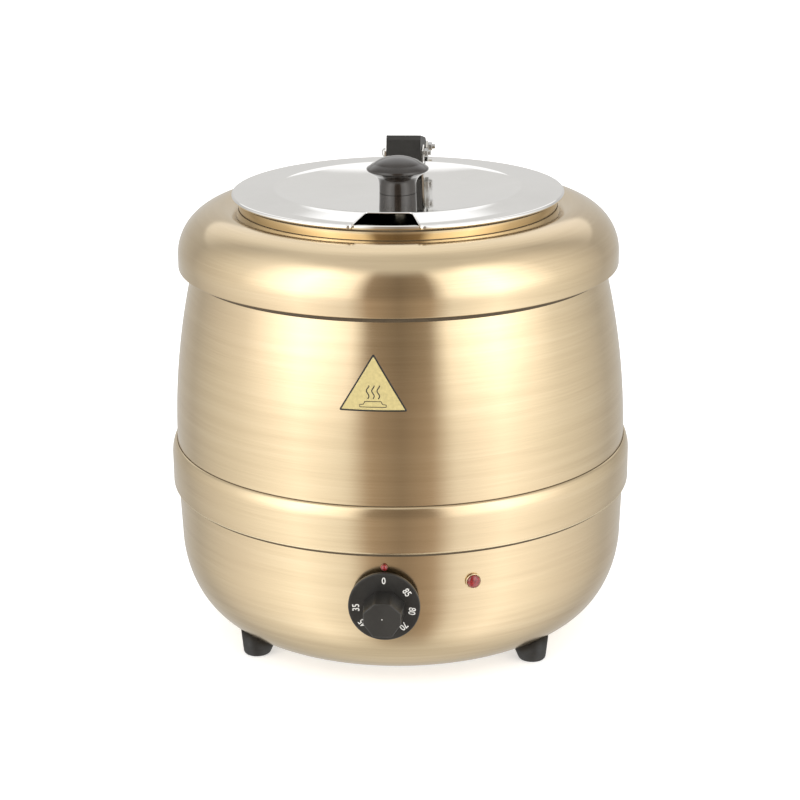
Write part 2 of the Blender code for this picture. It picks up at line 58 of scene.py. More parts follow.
# --- Driving sizes, read from the frame ------------------------------------------------------------
band_low_corner, band_high_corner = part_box("waist_band")
barrel_low_corner, barrel_high_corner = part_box("barrel_shell")
bowl_low_corner, bowl_high_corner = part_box("lower_bowl")
collar_low_corner, collar_high_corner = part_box("collar")
pot_low_corner, pot_high_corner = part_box("soup_pot")
lid_high_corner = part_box("lid")[1]
knob_low_corner, knob_high_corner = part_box("lid_knob")
dial_low_corner, dial_high_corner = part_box("control_knob")
lens_low_corner, lens_high_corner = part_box("indicator_lens")
jewel_low_corner, jewel_high_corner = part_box("index_jewel")
gland_low_corner, gland_high_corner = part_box("cord_gland")

BAND_RADIUS = band_high_corner.x
BODY_RADIUS = barrel_high_corner.x
COLLAR_RADIUS = collar_high_corner.x
POT_RADIUS = pot_high_corner.x
LID_RADIUS = lid_high_corner.x
KNOB_RADIUS = knob_high_corner.x
DIAL_RADIUS = dial_high_corner.x
DIAL_CENTRE_Z = (dial_low_corner.z + dial_high_corner.z) / 2
GLAND_Z = (gland_low_corner.z + gland_high_corner.z) / 2

BARREL_BULGE = 0.96  # radius lost per square metre of height above the band
BOWL_CORNER = 42.3 * MM  # radius of the bowl's lower corner, across
BOWL_WALL_LOW = 75 * MM  # height where that corner meets the wall
POT_RIM_FOOT = 320.5 * MM  # height where the pot's rim rests on the collar
VIEW_FALL = 0.33  # fall of the line of sight for each unit of distance
LID_CREASE = 90 * MM
LID_CREASE_TOP = 334.4 * MM
LID_DISH = 4.9 * MM
VIEW_TURN = math.radians(4.1)  # the kettle's front is turned this far from the camera


# --- Node helpers ---------------------------------------------------------------------------------
class Nodes:
    """A short way to write a node tree."""

    def __init__(self, tree):
        self.tree = tree
        self.tree.nodes.clear()

    def add(self, kind, settings=None, **inputs):
        node = self.tree.nodes.new(kind)
        for name, value in (settings or {}).items():
            setattr(node, name, value)
        for name, value in inputs.items():
            socket = node.inputs[int(name[1:])] if name[0] == "i" and name[1:].isdigit() else None
            socket = socket or node.inputs[name.replace("_", " ")]
            if isinstance(value, bpy.types.NodeSocket):
                self.tree.links.new(value, socket)
            else:
                socket.default_value = value
        return node

    def math(self, operation, *values):
        inputs = {f"i{index}": value for index, value in enumerate(values)}
        return self.add("ShaderNodeMath", {"operation": operation}, **inputs).outputs[0]

    def ramp(self, factor, stops):
        node = self.add("ShaderNodeValToRGB", Fac=factor)
        elements = node.color_ramp.elements
        while len(elements) < len(stops):
            elements.new(0.5)
        for element, (position, colour) in zip(elements, stops):
            element.position = position
            element.color = colour if hasattr(colour, "__len__") else (colour, colour, colour, 1)
        return node.outputs["Color"]

    def span(self, value, low, high, to_low, to_high, smooth=False):
        settings = {"interpolation_type": "SMOOTHSTEP" if smooth else "LINEAR"}
        node = self.add("ShaderNodeMapRange", settings, Value=value)
        for name, number in zip(("From Min", "From Max", "To Min", "To Max"), (low, high, to_low, to_high)):
            node.inputs[name].default_value = number
        return node.outputs["Result"]

    def mix(self, factor, first, second, blend="MIX"):
        node = self.add("ShaderNodeMix", {"data_type": "RGBA", "blend_type": blend})
        for index, value in ((0, factor), (6, first), (7, second)):
            if isinstance(value, bpy.types.NodeSocket):
                self.tree.links.new(value, node.inputs[index])
            else:
                node.inputs[index].default_value = value
        return node.outputs[2]


def new_material(name):
    material = bpy.data.materials.new(name)
    material.use_nodes = True
    return material, Nodes(material.node_tree)


def close_material(nodes, shader):
    nodes.add("ShaderNodeOutputMaterial", Surface=shader.outputs[0])


def place_round_axis(nodes):
    """Each point's angle round the kettle's axis, its distance from the axis and its height."""
    place = nodes.add("ShaderNodeTexCoord").outputs["Object"]
    parts = nodes.add("ShaderNodeSeparateXYZ", Vector=place)
    x, y, z = parts.outputs
    angle = nodes.math("ARCTAN2", y, x)
    squares = nodes.math("ADD", nodes.math("MULTIPLY", x, x), nodes.math("MULTIPLY", y, y))
    radius = nodes.math("SQRT", squares)
    return angle, radius, z


def brushed_brass(name, smooth, rough):
    """Circumferentially brushed, brass-toned steel under lacquer."""
    material, nodes = new_material(name)
    angle, radius, height = place_round_axis(nodes)
    across = nodes.math("ADD", height, radius)
    fine = nodes.add(
        "ShaderNodeCombineXYZ",
        X=nodes.math("MULTIPLY", angle, 2.2),
        Y=nodes.math("MULTIPLY", across, 1700),
    ).outputs[0]
    broad = nodes.add(
        "ShaderNodeCombineXYZ",
        X=nodes.math("MULTIPLY", angle, 0.9),
        Y=nodes.math("MULTIPLY", across, 150),
    ).outputs[0]
    lines = nodes.add("ShaderNodeTexNoise", Vector=fine, Scale=1.0, Detail=3.0, Roughness=0.6).outputs[0]
    streaks = nodes.add("ShaderNodeTexNoise", Vector=broad, Scale=1.0, Detail=2.0, Roughness=0.5).outputs[0]
    place = nodes.add("ShaderNodeTexCoord").outputs["Object"]
    clouds = nodes.add("ShaderNodeTexNoise", Vector=place, Scale=7.0, Detail=2.0).outputs[0]
    tone = nodes.math("ADD", nodes.math("MULTIPLY", lines, 0.45), nodes.math("MULTIPLY", streaks, 0.55))
    base = nodes.ramp(
        tone,
        [(0.25, (0.62, 0.49, 0.31, 1)), (0.5, (0.70, 0.56, 0.36, 1)), (0.75, (0.77, 0.63, 0.42, 1))],
    )
    peach = nodes.span(clouds, 0.45, 0.7, 0.0, 0.22, smooth=True)
    colour = nodes.mix(peach, base, (0.74, 0.56, 0.38, 1))
    roughness = nodes.span(lines, 0.2, 0.8, smooth, rough)
    bump = nodes.add("ShaderNodeBump", Height=lines, Strength=0.05, Distance=0.0002).outputs[0]
    tangent = nodes.add("ShaderNodeTangent", {"direction_type": "RADIAL", "axis": "Z"}).outputs[0]
    shader = nodes.add(
        "ShaderNodeBsdfPrincipled",
        Base_Color=colour,
        Metallic=1.0,
        Roughness=roughness,
        Anisotropic=0.7,
        Anisotropic_Rotation=0.25,
        Normal=bump,
        Tangent=tangent,
    )
    shader.inputs["Coat Weight"].default_value = 0.12
    shader.inputs["Coat Roughness"].default_value = 0.18
    close_material(nodes, shader)
    return material


def polished_metal(name, colour, roughness):
    """Mirror-polished metal with faint wipe marks."""
    material, nodes = new_material(name)
    place = nodes.add("ShaderNodeTexCoord").outputs["Object"]
    smears = nodes.add("ShaderNodeTexNoise", Vector=place, Scale=26.0, Detail=4.0, Roughness=0.65).outputs[0]
    tint = nodes.ramp(smears, [(0.3, (*[c * 0.96 for c in colour], 1)), (0.7, (*colour, 1))])
    shader = nodes.add(
        "ShaderNodeBsdfPrincipled",
        Base_Color=tint,
        Metallic=1.0,
        Roughness=nodes.span(smears, 0.35, 0.8, roughness, roughness + 0.05),
    )
    close_material(nodes, shader)
    return material


def moulded(name, colour, roughness, grain, grain_scale, coat=0.0):
    """A moulded plastic or rubber with its own small-scale grain."""
    material, nodes = new_material(name)
    place = nodes.add("ShaderNodeTexCoord").outputs["Object"]
    fine = {"Scale": grain_scale, "Detail": 3.0, "Roughness": 0.6}
    grit = nodes.add("ShaderNodeTexNoise", Vector=place, **fine).outputs[0]
    blotch = nodes.add("ShaderNodeTexNoise", Vector=place, Scale=60.0, Detail=2.0).outputs[0]
    darker = (*[c * 0.75 for c in colour], 1)
    lighter = (*[min(c * 1.3, 1.0) for c in colour], 1)
    tint = nodes.ramp(blotch, [(0.3, darker), (0.7, lighter)])
    bump = nodes.add("ShaderNodeBump", Height=grit, Strength=grain, Distance=0.0002).outputs[0]
    shader = nodes.add(
        "ShaderNodeBsdfPrincipled",
        Base_Color=tint,
        Roughness=nodes.span(grit, 0.3, 0.7, roughness - 0.05, roughness + 0.07),
        Normal=bump,
    )
    shader.inputs["Coat Weight"].default_value = coat
    shader.inputs["Coat Roughness"].default_value = 0.06
    close_material(nodes, shader)
    return material


def satin_metal(name, colour, roughness):
    """Machined or pressed metal with a fine, even grain."""
    material, nodes = new_material(name)
    place = nodes.add("ShaderNodeTexCoord").outputs["Object"]
    grain = nodes.add("ShaderNodeTexNoise", Vector=place, Scale=900.0, Detail=3.0, Roughness=0.6).outputs[0]
    patches = nodes.add("ShaderNodeTexNoise", Vector=place, Scale=35.0, Detail=3.0).outputs[0]
    tint = nodes.ramp(patches, [(0.3, (*[c * 0.85 for c in colour], 1)), (0.7, (*colour, 1))])
    shader = nodes.add(
        "ShaderNodeBsdfPrincipled",
        Base_Color=tint,
        Metallic=1.0,
        Roughness=nodes.span(grain, 0.3, 0.7, roughness - 0.06, roughness + 0.08),
    )
    close_material(nodes, shader)
    return material


def red_glass(name, colour):
    """A red moulded lens with fine prisms inside."""
    material, nodes = new_material(name)
    place = nodes.add("ShaderNodeTexCoord").outputs["Object"]
    cells = nodes.add("ShaderNodeTexVoronoi", Vector=place, Scale=900.0).outputs["Distance"]
    lighter = (*[min(c * 1.5, 1) for c in colour], 1)
    darker = (*[c * 0.6 for c in colour], 1)
    tint = nodes.ramp(cells, [(0.0, lighter), (0.7, darker)])
    bump = nodes.add("ShaderNodeBump", Height=cells, Strength=0.25, Distance=0.0003).outputs[0]
    shader = nodes.add("ShaderNodeBsdfPrincipled", Base_Color=tint, Roughness=0.2, Normal=bump)
    shader.inputs["Coat Weight"].default_value = 1.0
    shader.inputs["Coat Roughness"].default_value = 0.05
    close_material(nodes, shader)
    return material


def printed(name, colour, roughness=0.45):
    """Ink or foil with a slightly uneven tone."""
    material, nodes = new_material(name)
    place = nodes.add("ShaderNodeTexCoord").outputs["Object"]
    flecks = nodes.add("ShaderNodeTexNoise", Vector=place, Scale=500.0, Detail=3.0).outputs[0]
    tint = nodes.ramp(flecks, [(0.3, (*[c * 0.82 for c in colour], 1)), (0.7, (*colour, 1))])
    shader = nodes.add("ShaderNodeBsdfPrincipled", Base_Color=tint, Roughness=roughness)
    close_material(nodes, shader)
    return material


BRASS = brushed_brass("brushed_brass", 0.15, 0.23)
COLLAR_BRASS = brushed_brass("collar_brass", 0.11, 0.17)
# Brass tone for the steel pot's rim face: a painted reflection of the brass collar.
RIM_REFLECTION = polished_metal("painted_rim_reflection", (0.70, 0.56, 0.35), 0.05)
# A lighter copy of the brass: painted highlight on the band's lower bead and on the lamp's bezel ring.
HIGHLIGHT_BRASS = satin_metal("painted_highlight_brass", (0.86, 0.73, 0.50), 0.36)
MIRROR = polished_metal("mirror_steel", (0.93, 0.92, 0.90), 0.03)
POT_STEEL = polished_metal("pot_steel", (0.86, 0.84, 0.79), 0.03)
SATIN = satin_metal("satin_steel", (0.62, 0.62, 0.61), 0.34)
ALUMINIUM = satin_metal("drawn_aluminium", (0.72, 0.72, 0.73), 0.42)
COPPER = satin_metal("bare_copper", (0.78, 0.42, 0.27), 0.32)
BAKELITE = moulded("bakelite", (0.020, 0.015, 0.012), 0.09, 0.01, 500.0, coat=0.5)
DIAL_BLACK = moulded("dial_black", (0.022, 0.021, 0.019), 0.38, 0.08, 1500.0)
ARM_BLACK = moulded("arm_black", (0.022, 0.021, 0.019), 0.48, 0.45, 420.0)
RUBBER = moulded("foot_rubber", (0.020, 0.019, 0.018), 0.52, 0.15, 900.0)
CERAMIC = moulded("white_moulding", (0.72, 0.70, 0.65), 0.5, 0.1, 900.0)
RED = red_glass("red_lens", (0.26, 0.008, 0.010))
NUMERAL_WHITE = printed("numeral_white", (0.85, 0.84, 0.80))
LABEL_GOLD = printed("label_gold", (0.60, 0.50, 0.22), 0.38)
LABEL_BLACK = printed("label_black", (0.018, 0.017, 0.015))
# Dark brown for rings laid where the gaps between the sheets fall into shade: painted shade.
SEAM_SHADE = printed("painted_seam_shade", (0.10, 0.068, 0.032), 0.6)


# --- Mesh helpers ---------------------------------------------------------------------------------
def arc(centre, half_axes, start, stop, steps):
    """(radius, height) points along an elliptical arc, angles in degrees."""
    angles = [math.radians(start + (stop - start) * step / steps) for step in range(steps + 1)]
    return [(centre[0] + half_axes[0] * math.cos(a), centre[1] + half_axes[1] * math.sin(a)) for a in angles]


def offset(path, thickness):
    """The path moved sideways to its left by thickness."""
    moved = []
    for index, point in enumerate(path):
        before, after = path[max(index - 1, 0)], path[min(index + 1, len(path) - 1)]
        run, rise = after[0] - before[0], after[1] - before[1]
        length = math.hypot(run, rise) or 1.0
        moved.append((point[0] - rise / length * thickness, point[1] + run / length * thickness))
    return moved


def sheet_outline(path, thickness=SHEET):
    """Closed outline of sheet metal whose visible face follows path, with softly rounded ends."""
    inner = offset(path, thickness)
    ends = []
    for outer_end, inner_end, beyond in ((path[-1], inner[-1], path[-2]), (inner[0], path[0], path[1])):
        middle = ((outer_end[0] + inner_end[0]) / 2, (outer_end[1] + inner_end[1]) / 2)
        away = Vector((middle[0] - beyond[0], middle[1] - beyond[1])).normalized()
        ends.append((middle[0] + away.x * thickness * 0.4, middle[1] + away.y * thickness * 0.4))
    return [*path, ends[0], *inner[::-1], ends[1]]


def finish_mesh(name, mesh_data, material, sharp=40):
    bmesh.ops.remove_doubles(mesh_data, verts=mesh_data.verts, dist=1e-7)
    bmesh.ops.recalc_face_normals(mesh_data, faces=mesh_data.faces)
    mesh = bpy.data.meshes.new(name)
    mesh_data.to_mesh(mesh)
    mesh_data.free()
    mesh.materials.append(material)
    mesh.shade_smooth()
    mesh.set_sharp_from_angle(angle=math.radians(sharp))
    piece = bpy.data.objects.new(name, mesh)
    bpy.context.collection.objects.link(piece)
    return piece


def turned(name, outline, material, steps=ROUND, axis=None, sharp=40):
    """A turned piece from (radius, height) points. axis is (place, direction), by default the kettle's."""
    mesh_data = bmesh.new()
    points = [mesh_data.verts.new((r, 0, z)) for r, z in outline]
    edges = [mesh_data.edges.new(pair) for pair in zip(points, points[1:])]
    if outline[0][0] > 0:
        edges.append(mesh_data.edges.new((points[-1], points[0])))
    swept = points + edges
    bmesh.ops.spin(mesh_data, geom=swept, axis=(0, 0, 1), angle=math.tau, steps=steps, use_merge=True)
    if axis:
        place, direction = axis
        turn = Vector((0, 0, 1)).rotation_difference(Vector(direction)).to_matrix().to_4x4()
        bmesh.ops.transform(mesh_data, matrix=Matrix.Translation(place) @ turn, verts=mesh_data.verts)
    return finish_mesh(name, mesh_data, material, sharp)


def stand_for(piece, node, body):
    """The piece takes the CAD node's place and moves with its body."""
    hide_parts(node)
    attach(piece, body)
    return piece


def add_piece(piece, body):
    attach(piece, body)
    return piece


def bevelled(piece, width, segments=3):
    modifier = piece.modifiers.new("soft_edges", "BEVEL")
    modifier.width = width
    modifier.segments = segments
    modifier.limit_method = "ANGLE"
    modifier.angle_limit = math.radians(30)
    return piece


# --- Housing --------------------------------------------------------------------------------------
def make_bowl():
    bottom = bowl_low_corner.z
    wall = BODY_RADIUS - 1.0 * MM
    path = [
        (98 * MM, bottom),
        *arc((wall - BOWL_CORNER, BOWL_WALL_LOW), (BOWL_CORNER, BOWL_WALL_LOW - bottom), -90, 0, 28),
        (BODY_RADIUS - 0.1 * MM, 100 * MM),
        (BODY_RADIUS + 0.1 * MM, bowl_high_corner.z),
    ]
    stand_for(turned("bowl", sheet_outline(path), BRASS), "lower_bowl", "housing")


def make_band():
    low, high = band_low_corner.z, band_high_corner.z
    path = [
        (BAND_RADIUS - 3.4 * MM, low),
        *arc((BAND_RADIUS - 1.6 * MM, low + 1.8 * MM), (1.6 * MM, 1.6 * MM), -80, 0, 6),
        (BAND_RADIUS, 138 * MM),
        (BAND_RADIUS - 0.3 * MM, 140.6 * MM),
        (BAND_RADIUS - 1.0 * MM, 143.4 * MM),
        (BAND_RADIUS - 2.0 * MM, 146.2 * MM),
        (BAND_RADIUS - 2.9 * MM, high - 0.3 * MM),
        (BAND_RADIUS - 3.6 * MM, high),
    ]
    stand_for(turned("band", sheet_outline(path, 0.7 * MM), BRASS), "waist_band", "housing")


def barrel_radius(height):
    above = max(height - band_high_corner.z, 0.0)
    return BODY_RADIUS - BARREL_BULGE * above**2


def make_barrel():
    low, high = barrel_low_corner.z, barrel_high_corner.z
    heights = [low + (high - low) * step / 28 for step in range(29)]
    path = [(barrel_radius(z), z) for z in heights]
    stand_for(turned("barrel", sheet_outline(path), BRASS), "barrel_shell", "housing")


def make_collar():
    round_out, round_up = 35 * MM, 34.5 * MM
    low, top = collar_low_corner.z, collar_high_corner.z
    crest = COLLAR_RADIUS - round_out
    hole = 115 * MM
    lip = 0.9 * MM
    path = [
        (COLLAR_RADIUS - 2.2 * MM, low),
        *arc((COLLAR_RADIUS - lip, low + lip), (lip, lip), -80, 0, 5),
        *arc((crest, top - round_up), (round_out, round_up), 0, 90, 40),
        (hole + 4 * MM, top - 1.0 * MM),
        *arc((hole + 2 * MM, top - 3.4 * MM), (2 * MM, 2 * MM), 80, 180, 6),
        (hole, top - 15 * MM),
    ]
    stand_for(turned("collar_ring", sheet_outline(path), COLLAR_BRASS), "collar", "housing")


def shade_line(name, radius, low, high, body):
    """A thin dark ring laid on a turned face where two sheets meet: painted shade for the gap between them.
    """
    inside, outside = radius - 0.5 * MM, radius + 0.2 * MM
    outline = [(inside, low), (outside, low), (outside, high), (inside, high)]
    add_piece(turned(name, outline, SEAM_SHADE), body)


def make_seam_shades():
    """The painted shade lines under the collar's lip and along the band, and the band's bright lower edge, a
    painted highlight in lighter brass.
    """
    under_lip, over_band, under_band = collar_low_corner.z, band_high_corner.z, band_low_corner.z
    hidden_by_lip = (COLLAR_RADIUS - barrel_radius(under_lip)) * VIEW_FALL
    lip_low = under_lip - hidden_by_lip - 1.5 * MM
    # painted shade under the collar's lip, reaching below the part the lip hides from view
    shade_line("collar_seam_shade", barrel_radius(lip_low), lip_low, under_lip + 0.3 * MM, "housing")
    # painted shade along the band's top edge
    top_shade = (over_band - 0.3 * MM, over_band + 0.55 * MM)
    shade_line("band_top_shade", barrel_radius(over_band), *top_shade, "housing")
    # painted shade below the band's lower edge, reaching 2.6 mm down the bowl as the band's painted shadow
    shade_line("band_low_shade", BODY_RADIUS, under_band - 2.6 * MM, under_band + 0.3 * MM, "housing")
    # a bead in lighter brass along the band's lower edge: painted highlight
    bead = 0.8 * MM
    edge = arc((BAND_RADIUS - 0.9 * MM, under_band + 0.9 * MM), (bead, bead), 0, 345, 18)
    add_piece(turned("band_highlight_bead", edge, HIGHLIGHT_BRASS), "housing")


def make_pot_rim_face():
    """A brass-toned ring laid on the steel pot's rim face between the lid and the collar, a painted
    reflection of the brass collar, with its painted shade lines.
    """
    top = pot_high_corner.z - 1.6 * MM
    inside, outside = POT_RADIUS - 0.5 * MM, POT_RADIUS + 0.15 * MM
    outline = [(inside, POT_RIM_FOOT), (outside, POT_RIM_FOOT), (outside, top), (inside, top)]
    # brass tone on the steel pot: painted reflection of the brass collar
    add_piece(turned("pot_rim_face", outline, RIM_REFLECTION), "pot")
    # painted shade where the pot sits on the collar, and below the top of the rim face under the lid's edge
    shade_line("pot_seat_shade", outside, POT_RIM_FOOT, POT_RIM_FOOT + 1.0 * MM, "pot")
    shade_line("pot_lid_shade", outside, top - 2.4 * MM, top - 1.0 * MM, "pot")


# --- Pot, lid and hinge -----------------------------------------------------------------------------
def make_pot():
    wall, corner = 113.6 * MM, 12 * MM
    bottom, top = pot_low_corner.z, pot_high_corner.z
    gauge = 1.0 * MM
    centre = (wall - corner, bottom + corner)
    bead = 0.7 * MM
    outline = [
        (0, bottom),
        *arc(centre, (corner, corner), -90, 0, 10),
        (wall, top - 1.3 * MM),
        (POT_RADIUS - gauge, top - 1.3 * MM),
        (POT_RADIUS - gauge, POT_RIM_FOOT),
        (POT_RADIUS, POT_RIM_FOOT),
        *arc((POT_RADIUS - bead, top - bead), (bead, bead), 0, 90, 5),
        *arc((wall - gauge + bead, top - bead), (bead, bead), 90, 180, 5),
        *arc(centre, (corner - gauge, corner - gauge), 0, -90, 10),
        (0, bottom + gauge),
    ]
    stand_for(turned("pot", outline, POT_STEEL), "soup_pot", "pot")


def lid_height(radius):
    return LID_CREASE_TOP - LID_DISH * (1 - (radius / LID_CREASE) ** 2)


def make_lid():
    gauge = 0.9 * MM
    rim_outer = LID_RADIUS - 4.0 * MM
    edge_top = LID_CREASE_TOP - 2.1 * MM
    bead = 1.55 * MM
    dish = [2.9 * MM + (87.4 - 2.9) * MM * step / 26 for step in range(27)]
    top = [(radius, lid_height(radius)) for radius in dish]
    crease = [(89.0 * MM, lid_height(89.0 * MM) + 0.15 * MM), (90.2 * MM, LID_CREASE_TOP + 0.28 * MM)]
    crease += [(91.6 * MM, LID_CREASE_TOP + 0.1 * MM)]
    rim_inner, rim_high = 91.6 * MM, LID_CREASE_TOP + 0.1 * MM
    rim = []
    for step in range(1, 5):
        t = step / 4
        rim.append((rim_inner + (rim_outer - rim_inner) * t, rim_high + (edge_top - rim_high) * t))
    rolled = arc((LID_RADIUS - bead, edge_top - bead + 0.05 * MM), (bead, bead), 100, -150, 14)
    hem = [(LID_RADIUS - 3.2 * MM, edge_top - 1.7 * MM)]
    under_rim = [(radius, height - gauge) for radius, height in reversed(rim)]
    under = [(radius, height - gauge) for radius, height in reversed(top)]
    piece = turned("lid_shell", top + crease + rim + rolled + hem + under_rim + under, MIRROR, sharp=25)
    notch_sizes = (17.0 * MM, 22.8 * MM, 88.5 * MM, LID_RADIUS - 4.4 * MM, 4.2 * MM)
    notch = make_notch_cutter(*notch_sizes)
    modifier = piece.modifiers.new("ladle_notch", "BOOLEAN")
    modifier.operation = "DIFFERENCE"
    modifier.object = notch
    stand_for(piece, "lid", "lid")
    make_notch_hem(*notch_sizes)


def notch_plan(inner_half, outer_half, inner, outer, flare):
    """Half outline of the ladle notch, from its middle to the lid's edge, with rounded corners."""
    corner = 2.4 * MM
    points = [(0.0, -inner), (inner_half - corner, -inner)]
    for step in range(1, 6):
        turn = math.radians(90 - 78 * step / 5)
        across, along = corner * math.cos(turn), corner * math.sin(turn)
        points.append((inner_half - corner + across, -inner - corner + along))
    points.append((outer_half, -outer + 2 * MM))
    for step in range(1, 8):
        turn = math.radians(90 * step / 7)
        points.append((outer_half + flare * (1 - math.cos(turn)), -outer + 2 * MM - flare * math.sin(turn)))
    return points


def make_notch_cutter(*plan_sizes):
    half = notch_plan(*plan_sizes)
    half.append((half[-1][0], half[-1][1] - 12 * MM))
    plan = half + [(-x, y) for x, y in reversed(half) if x > 0]
    mesh_data = bmesh.new()
    bottom = mesh_data.faces.new([mesh_data.verts.new((x, y, LID_CREASE_TOP - 20 * MM)) for x, y in plan])
    drawn = bmesh.ops.extrude_face_region(mesh_data, geom=[bottom])
    upper = [part for part in drawn["geom"] if isinstance(part, bmesh.types.BMVert)]
    bmesh.ops.translate(mesh_data, verts=upper, vec=(0, 0, 40 * MM))
    cutter = finish_mesh("notch_cutter", mesh_data, MIRROR)
    cutter.hide_render = True
    cutter.display_type = "WIRE"
    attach(cutter, "lid")
    return cutter


def lid_surface(x, y):
    """Height of the lid's top face at a point in plan."""
    radius = math.hypot(x, y)
    if radius <= LID_CREASE:
        return lid_height(radius)
    return LID_CREASE_TOP - 2.1 * MM * min((radius - LID_CREASE) / (27 * MM), 1.0)


def make_notch_hem(*plan_sizes):
    """The bright folded edge round the ladle notch."""
    half = notch_plan(*plan_sizes)
    half = [point for point in half if math.hypot(*point) < LID_RADIUS - 2.4 * MM]
    plan = [(-x, y) for x, y in reversed(half) if x > 0] + half
    route = [(x, y, lid_surface(x, y) - 0.35 * MM) for x, y in plan]
    add_piece(tube("notch_hem", route, 0.75 * MM, MIRROR), "lid")


def tube(name, route, radius, material, cyclic=False, resolution=4):
    """A round wire along a smooth route, as a mesh."""
    curve = bpy.data.curves.new(name, "CURVE")
    curve.dimensions = "3D"
    curve.bevel_depth = radius
    curve.bevel_resolution = resolution
    curve.use_fill_caps = True
    spline = curve.splines.new("POLY")
    spline.points.add(len(route) - 1)
    for spot, point in zip(spline.points, route):
        spot.co = (*point, 1.0)
    spline.use_cyclic_u = cyclic
    guide = bpy.data.objects.new(name + "_line", curve)
    bpy.context.collection.objects.link(guide)
    bpy.context.view_layer.update()
    mesh = bpy.data.meshes.new_from_object(guide.evaluated_get(bpy.context.evaluated_depsgraph_get()))
    bpy.data.objects.remove(guide, do_unlink=True)
    mesh.materials.clear()
    mesh.materials.append(material)
    mesh.shade_smooth()
    piece = bpy.data.objects.new(name, mesh)
    bpy.context.collection.objects.link(piece)
    return piece


def make_lid_knob():
    """A turned phenolic knob: waisted stem, flared neck and a domed cap."""
    base = knob_low_corner.z
    stem = 13.5 * MM
    dome_low = base + 14.0 * MM
    neck = arc((20.5 * MM, base + 5.0 * MM), (7.0 * MM, 9.0 * MM), 180, 112, 14)
    outline = [
        (2.6 * MM, base + 14 * MM),
        (2.6 * MM, base),
        (stem, base),
        (stem, base + 2.5 * MM),
        *neck,
        (20.4 * MM, base + 14.9 * MM),
        *arc((KNOB_RADIUS - 1.2 * MM, base + 17.3 * MM), (1.2 * MM, 1.3 * MM), -60, 45, 8),
        (20.6 * MM, base + 19.4 * MM),
        (19.2 * MM, base + 20.6 * MM),
        *arc((0, dome_low), (21.4 * MM, knob_high_corner.z - dome_low), 34, 90, 18),
    ]
    outline[-1] = (0, knob_high_corner.z)
    piece = turned("knob_turning", [(0, base + 14 * MM), *outline], BAKELITE, 96, sharp=60)
    stand_for(piece, "lid_knob", "lid")


def make_hinge():
    """The arm, its brackets, and the bolt and pin that cross it, with domed heads and hexagon nuts."""
    for node, material, width in (
        ("hinge_arm", ARM_BLACK, 0.9 * MM),
        ("lid_bracket", POT_STEEL, 0.3 * MM),
        ("hinge_bracket", POT_STEEL, 0.3 * MM),
    ):
        part = frame["nodes"][node]
        part.data.materials.clear()
        part.data.materials.append(material)
        part.data.set_sharp_from_angle(angle=math.radians(30))
        bevelled(part, width)
    for bolt, nut, body in (("arm_bolt", "arm_nut", "lid"), ("hinge_pin", "hinge_pin_nut", "pot")):
        make_bolt(bolt, body)
        make_nut(nut, body)


def make_bolt(node, body):
    low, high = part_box(node)
    middle = (low + high) / 2
    length = high.x - low.x
    head, shank, head_height = (high.y - low.y) / 2, 1.95 * MM, 2.6 * MM
    outline = [
        (0, 0),
        *arc((0, head_height), (head, head_height), -80, -8, 8),
        (head, head_height),
        (shank, head_height),
        (shank, length - 0.5 * MM),
        (shank - 0.5 * MM, length),
        (0, length),
    ]
    place = ((low.x, middle.y, middle.z), (1, 0, 0))
    stand_for(turned(node + "_turning", outline, SATIN, 40, place), node, body)


def make_nut(node, body):
    low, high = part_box(node)
    middle = (low + high) / 2
    height = high.x - low.x
    across = (high.y - low.y) / 2
    outline = [(2.4 * MM, 0), (across, 0), (across, height), (2.4 * MM, height)]
    nut = turned(node + "_hexagon", outline, SATIN, 6, ((low.x, middle.y, middle.z), (1, 0, 0)), 20)
    stand_for(bevelled(nut, 0.35 * MM), node, body)


# --- Controls -------------------------------------------------------------------------------------
def make_dial():
    """The thermostat dial: a turned disc, the bold faceted grip and the printed numerals."""
    back, front = dial_high_corner.y, dial_low_corner.y
    disc_depth = 3.6 * MM
    edge = 0.8 * MM
    outline = [
        (0, 0),
        (DIAL_RADIUS - 1.2 * MM, 0),
        (DIAL_RADIUS, 1.0 * MM),
        *arc((DIAL_RADIUS - edge, disc_depth - edge), (edge, edge), 0, 90, 6),
        (DIAL_RADIUS - 2.2 * MM, disc_depth - 0.15 * MM),
        (0, disc_depth - 0.15 * MM),
    ]
    centre = (0, back, DIAL_CENTRE_Z)
    disc = turned("dial_disc", outline, DIAL_BLACK, 128, (centre, (0, -1, 0)))
    stand_for(disc, "control_knob", "dial")

    half_face = [(5.4, 10.3), (13.0, 3.5), (13.0, -4.8), (6.5, -14.3)]
    face = [(x * MM, z * MM) for x, z in half_face]
    face += [(-x, z) for x, z in reversed(face)]
    base = back - disc_depth + 0.4 * MM
    mesh_data = bmesh.new()
    rings = []
    for y, scale in ((base, 1.10), (base - 2.0 * MM, 1.07), (front, 1.0)):
        rings.append([mesh_data.verts.new((x * scale, y, DIAL_CENTRE_Z + z * scale)) for x, z in face])
    for near, far in zip(rings, rings[1:]):
        for index in range(len(face)):
            after = (index + 1) % len(face)
            mesh_data.faces.new((near[index], near[after], far[after], far[index]))
    mesh_data.faces.new(rings[0])
    mesh_data.faces.new(rings[-1])
    grip = finish_mesh("dial_grip", mesh_data, DIAL_BLACK, 20)
    add_piece(bevelled(grip, 0.8 * MM, 4), "dial")

    dot = [(0, 0), (0.45 * MM, 0), (0.35 * MM, 0.12 * MM), (0, 0.15 * MM)]
    spot = ((0, front + 0.05 * MM, DIAL_CENTRE_Z - 1.0 * MM), (0, -1, 0))
    add_piece(turned("dial_spot", dot, NUMERAL_WHITE, 24, spot), "dial")
    numerals = (("0", 0), ("85", 55), ("80", 98), ("70", 136.5), ("60", 184), ("45", 231), ("35", 268))
    for text, turn in numerals:
        make_numeral(text, turn, back - disc_depth + 0.15 * MM)


